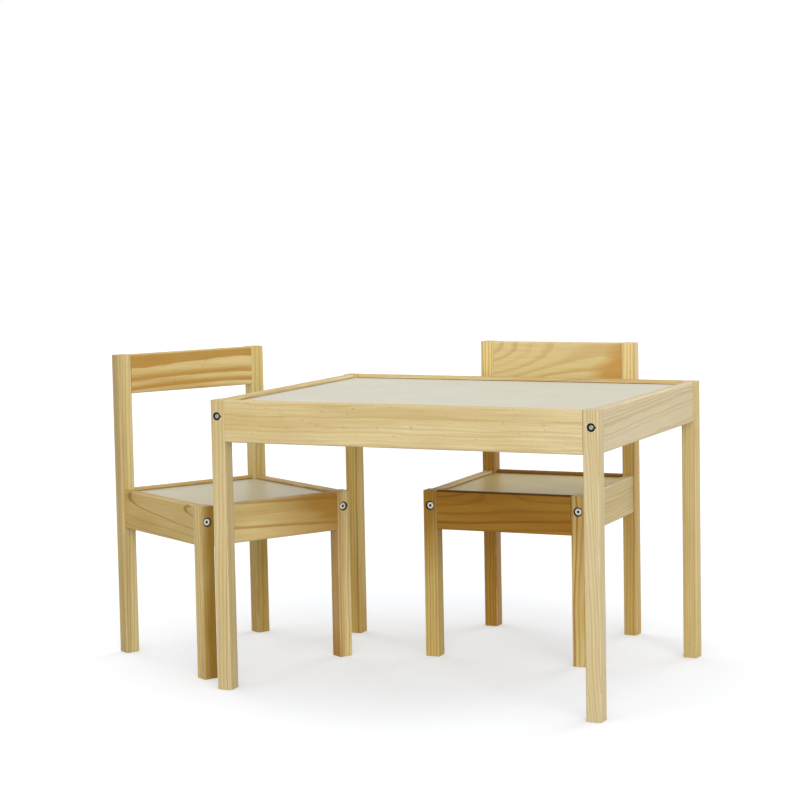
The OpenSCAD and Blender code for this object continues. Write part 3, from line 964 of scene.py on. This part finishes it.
def make_bolt(name, box, shank, socket_width, dome, outside, inside):
    """A bolt along Y with its face at the origin: a domed disc with a socket, and a shank drawn out of it."""
    sizes = fixings()
    head_width = box[1].z - box[0].z
    length = box[1].y - box[0].y
    bolt = add_rod(name, 1, ORIGIN, 0, sizes.head_thickness, head_width, FIXING_SIDES)
    bolt.data.materials.append(outside)
    step_end(bolt, 1, (head_width - shank) / 2, length - sizes.head_thickness, TIP_ROUND)
    round_edges(bolt, lambda e: lies_at(e, 1, (0,)), dome, 4)
    cut(bolt, add_rod("hexagon", 1, ORIGIN, -MM, sizes.socket_depth, socket_width, 6), inside)

    def rims_socket(edge):
        return lies_at(edge, 1, (0,)) and max(v.co.length for v in edge.verts) < 0.55 * socket_width

    round_edges(bolt, rims_socket, SOCKET_EASING, 1)
    return bolt


def make_washer(name, washer, bolt):
    """A cup washer along Y with its face at the origin: a ring round a recess, with a tab at its right."""
    sizes = fixings()
    width = washer[1].z - washer[0].z
    depth = washer[1].y - washer[0].y
    recess = bolt[1].z - bolt[0].z + 2 * sizes.play
    ring = add_rod(name, 1, ORIGIN, 0, depth, width, FIXING_SIDES)
    ring.data.materials.append(finished("blackened_steel"))
    round_edges(ring, lambda e: lies_at(e, 1, (0,)), WASHER_ROUND, 3)
    step_end(ring, -1, (width - recess) / 2 - WASHER_ROUND, sizes.head_thickness)
    hole = sizes.table_shank + 2 * sizes.play
    cut(ring, add_rod("floor_hole", 1, ORIGIN, sizes.head_thickness - MM, depth + MM, hole))
    tab_out = max(washer[1].x - middle_of(bolt).x, middle_of(bolt).x - washer[0].x)
    low = Vector((width / 2 - TAB_ROOT, TAB_DROP, -TAB_HALF_WIDTH))
    tab = add_block("tab", low, Vector((tab_out, depth, TAB_HALF_WIDTH)))
    round_edges(tab, lambda e: lies_at(e, 0, (tab_out,)), TAB_ROUND, 2)
    cut(ring, tab, operation="UNION")
    return ring


def copy_to_corners(piece, boxes, bolts, axis):
    """Copies a fixing that is made for a front corner to each box, on its bolt's line, and joins the copies.

    At the back it is turned about an axis, so that a washer's tab stays at the right.
    """
    copies = []
    for box in boxes:
        front = middle_of(box).y < 0
        centre = middle_of(nearest(bolts, middle_of(box)))
        use(piece)
        bpy.ops.object.duplicate(linked=False)
        copy = bpy.context.object
        face = Vector((centre.x, box[0].y if front else box[1].y, centre.z))
        put_at(copy, Matrix.Translation(face) @ Matrix.Rotation(0 if front else math.pi, 4, axis))
        copies.append(copy)
    bpy.data.objects.remove(piece)
    deselect()
    for copy in copies:
        copy.select_set(True)
    bpy.context.view_layer.objects.active = copies[0]
    bpy.ops.object.join()
    return bpy.context.object


def make_bolts(article, dome, outside, inside):
    """All the bolts of an article as one piece. Returns their boxes."""
    bolts = article.solids("bolts")
    bolt = make_bolt(f"{article.body}_bolt_set", bolts[0], *bolt_widths(article), dome, outside, inside)
    hand_over(copy_to_corners(bolt, bolts, bolts, "Z"), article, "bolts")
    return bolts


# ---- Operators ----


class KIDSSET_OT_table_legs(Operator):
    """Model the four legs of the table, drilled for their bolts and dowels"""

    bl_idname = "kidsset.table_legs"
    bl_label = "Table Legs"

    def execute(self, context):
        make_legs(TABLE)
        return {"FINISHED"}


class KIDSSET_OT_table_rails(Operator):
    """Model the four grooved rails of the table"""

    bl_idname = "kidsset.table_rails"
    bl_label = "Table Rails"

    def execute(self, context):
        make_rails(TABLE)
        return {"FINISHED"}


class KIDSSET_OT_chair_legs(Operator):
    """Model the front legs and back posts of both chairs"""

    bl_idname = "kidsset.chair_legs"
    bl_label = "Chair Legs and Posts"

    def execute(self, context):
        for chair in CHAIRS:
            make_legs(chair)
        return {"FINISHED"}


class KIDSSET_OT_chair_rails(Operator):
    """Model the grooved seat rails of both chairs"""

    bl_idname = "kidsset.chair_rails"
    bl_label = "Chair Rails"

    def execute(self, context):
        for chair in CHAIRS:
            make_rails(chair)
        return {"FINISHED"}


class KIDSSET_OT_backrests(Operator):
    """Model the backrest board between the posts of each chair"""

    bl_idname = "kidsset.backrests"
    bl_label = "Backrests"

    def execute(self, context):
        for chair in CHAIRS:
            sizes = (boards().rail_round, boards().joint_round, 4)
            make_board(chair, "backrest", LONG_AXES, *sizes, cut_dowel_holes)
        return {"FINISHED"}


class KIDSSET_OT_panels(Operator):
    """Model the off-white table top and seats in their grooves"""

    bl_idname = "kidsset.panels"
    bl_label = "Panels"

    def execute(self, context):
        for article in ARTICLES:
            make_panel(article)
        return {"FINISHED"}


class KIDSSET_OT_chair_bolts(Operator):
    """Model the sunk bolts of both chairs"""

    bl_idname = "kidsset.chair_bolts"
    bl_label = "Chair Bolts"

    def execute(self, context):
        for chair in CHAIRS:
            make_bolts(chair, CHAIR_DOME, finished("zinc_plate", chair), finished("socket_steel"))
        return {"FINISHED"}


class KIDSSET_OT_table_bolts(Operator):
    """Model the table's bolts and the black cup washers that hold their heads"""

    bl_idname = "kidsset.table_bolts"
    bl_label = "Table Bolts and Washers"

    def execute(self, context):
        bolts = make_bolts(TABLE, TABLE_DOME, finished("steel_plate"), finished("bright_steel"))
        washers = TABLE.solids("cup_washers")
        washer = make_washer("table_washer_set", washers[0], nearest(bolts, middle_of(washers[0])))
        hand_over(copy_to_corners(washer, washers, bolts, "X"), TABLE, "cup_washers")
        return {"FINISHED"}


class KIDSSET_OT_hidden_fixings(Operator):
    """Finish the barrel nuts and dowels inside the joints"""

    bl_idname = "kidsset.hidden_fixings"
    bl_label = "Nuts and Dowels"

    def execute(self, context):
        for article in ARTICLES:
            for node, kind in (("barrel_nuts", "zinc_plate"), ("dowels", "turned_beech")):
                materials = article.mesh(node).materials
                materials.clear()
                materials.append(finished(kind))
        return {"FINISHED"}


class KIDSSET_OT_studio(Operator):
    """Set up the floor, the lamps, the surroundings and the camera"""

    bl_idname = "kidsset.studio"
    bl_label = "Studio"

    def execute(self, context):
        settings = context.scene.studio_settings
        build_floor(settings)
        build_surroundings(settings)
        build_lamps(settings)
        build_camera()
        context.scene.view_settings.view_transform = "Standard"
        return {"FINISHED"}


# ---- Studio ----

WHITE = (1.0, 1.0, 1.0)
KEY_LIGHT = (1.0, 0.975, 0.93)
SKY_LIGHT = (1.0, 0.985, 0.955, 1)
SEEN_FLOOR = (0.785, 0.82, 0.89, 1)


def cleared(holder):
    """The wiring of a material or a world, with its nodes cleared."""
    holder.use_nodes = True
    holder.node_tree.nodes.clear()
    return Wiring(holder.node_tree)


def seen_white(w):
    """1 for what is seen straight, in a reflection or through glass, and 0 for the light that falls."""
    path = w.node("ShaderNodeLightPath").outputs
    seen = w.math("MAXIMUM", path["Is Camera Ray"], path["Is Glossy Ray"])
    return w.math("MAXIMUM", seen, path["Is Transmission Ray"])


def build_floor(settings):
    """A wide plain floor, white where nothing shades it, with a painted shadow from ambient occlusion under
    the furniture.
    """
    deselect()
    bpy.ops.mesh.primitive_plane_add(size=60, location=ORIGIN)
    floor = start("studio_floor")
    material = bpy.data.materials.new("studio_floor")
    w = cleared(material)
    seen = seen_white(w)
    # Painted shadow: ambient occlusion darkens the floor's colour and glow under the furniture
    open_sky = w.node("ShaderNodeAmbientOcclusion", {"Distance": 0.6}, samples=12).outputs["AO"]
    depth = w.ramp(open_sky, 0.5, 0.97, 0.84, 1.0, False)
    colour = w.mix(seen, settings.floor, SEEN_FLOOR)
    colour = w.mix(1.0, colour, w.combine(depth, depth, depth), "MULTIPLY")
    matt = w.node("ShaderNodeBsdfDiffuse", {"Color": colour}).outputs[0]
    strength = w.times(w.times(seen, 0.43), depth)
    glow = w.node("ShaderNodeEmission", {"Color": (*WHITE, 1), "Strength": strength}).outputs[0]
    both = w.node("ShaderNodeAddShader", {0: matt, 1: glow}).outputs[0]
    w.node("ShaderNodeOutputMaterial", {"Surface": both})
    floor.data.materials.append(material)


def build_surroundings(settings):
    """Plain light from all round, and white where the surroundings are seen."""
    world = bpy.data.worlds.new("studio")
    bpy.context.scene.world = world
    w = cleared(world)
    seen = seen_white(w)
    level = w.math("MAXIMUM", seen, settings.surround)
    tint = w.mix(seen, SKY_LIGHT, (*WHITE, 1))
    background = w.node("ShaderNodeBackground", {"Color": tint, "Strength": level}).outputs[0]
    w.node("ShaderNodeOutputWorld", {"Surface": background})


def build_lamps(settings):
    """Soft low lamps all round, each with its strength, colour and spread, and how far round and up it is."""
    for name, strength, colour, spread, azimuth, elevation in (
        ("key_lamp", settings.key, KEY_LIGHT, 52, 34, 20),
        ("front_lamp", settings.fill, WHITE, 38, -20, 40),
        ("side_lamp", settings.side, WHITE, 38, -120, 20),
        ("rear_lamp", settings.rear, WHITE, 38, 160, 20),
    ):
        deselect()
        bpy.ops.object.light_add(type="SUN", location=(0, 0, 2))
        lamp = bpy.context.object
        lamp.name = name
        side, up = math.radians(azimuth), math.radians(elevation)
        towards = Vector((math.sin(side) * math.cos(up), -math.cos(side) * math.cos(up), math.sin(up)))
        lamp.rotation_euler = towards.to_track_quat("Z", "Y").to_euler()
        lamp.data.angle = math.radians(spread)
        lamp.data.energy = strength
        lamp.data.color = colour


def build_camera():
    """A long lens in front of the table's right end, a little above the table top, looking slightly down."""
    deselect()
    right, forward, height = 1.36509, 3.12572, 0.76766
    yaw, pitch, roll = 0.4214, -0.0845, 0.01795
    middle = TABLE.place.translation
    bpy.ops.object.camera_add(location=(middle.x + right, middle.y - forward, height))
    camera = bpy.context.object
    camera.name = "studio_camera"
    level = Matrix.Rotation(yaw, 3, "Z") @ Matrix.Rotation(math.pi / 2 + pitch, 3, "X")
    camera.rotation_euler = (level @ Matrix.Rotation(-roll, 3, "Z")).to_euler()
    camera.data.sensor_width = 36
    camera.data.lens = 98.1
    camera.data.shift_x = -0.05
    camera.data.shift_y = -0.035
    camera.data.clip_end = 100
    bpy.context.scene.camera = camera


# ---- Panel and registration ----

STEPS = (
    KIDSSET_OT_table_legs,
    KIDSSET_OT_table_rails,
    KIDSSET_OT_chair_legs,
    KIDSSET_OT_chair_rails,
    KIDSSET_OT_backrests,
    KIDSSET_OT_panels,
    KIDSSET_OT_chair_bolts,
    KIDSSET_OT_table_bolts,
    KIDSSET_OT_hidden_fixings,
    KIDSSET_OT_studio,
)


class KIDSSET_PT_steps(Panel):
    """The steps of making the set, in their order"""

    bl_idname = "KIDSSET_PT_steps"
    bl_label = "Kids Table and Chairs"
    bl_space_type = "VIEW_3D"
    bl_region_type = "UI"
    bl_category = "Kids Set"

    def draw(self, context):
        column = self.layout.column(align=True)
        for step in STEPS:
            column.operator(step.bl_idname)
        for group, kind in SETTINGS.items():
            box = self.layout.box()
            for name in kind.__annotations__:
                box.prop(getattr(context.scene, group), name)


SETTINGS = {
    "board_settings": BoardSettings,
    "fixing_settings": FixingSettings,
    "studio_settings": StudioSettings,
}
CLASSES = (*SETTINGS.values(), *STEPS, KIDSSET_PT_steps)


def register():
    for cls in CLASSES:
        bpy.utils.register_class(cls)
    for group, kind in SETTINGS.items():
        setattr(bpy.types.Scene, group, PointerProperty(type=kind))


def unregister():
    for group in SETTINGS:
        delattr(bpy.types.Scene, group)
    for cls in reversed(CLASSES):
        bpy.utils.unregister_class(cls)


def main():
    register()
    for step in STEPS:
        getattr(bpy.ops.kidsset, step.bl_idname.split(".")[1])()


if __name__ == "__main__":
    main()
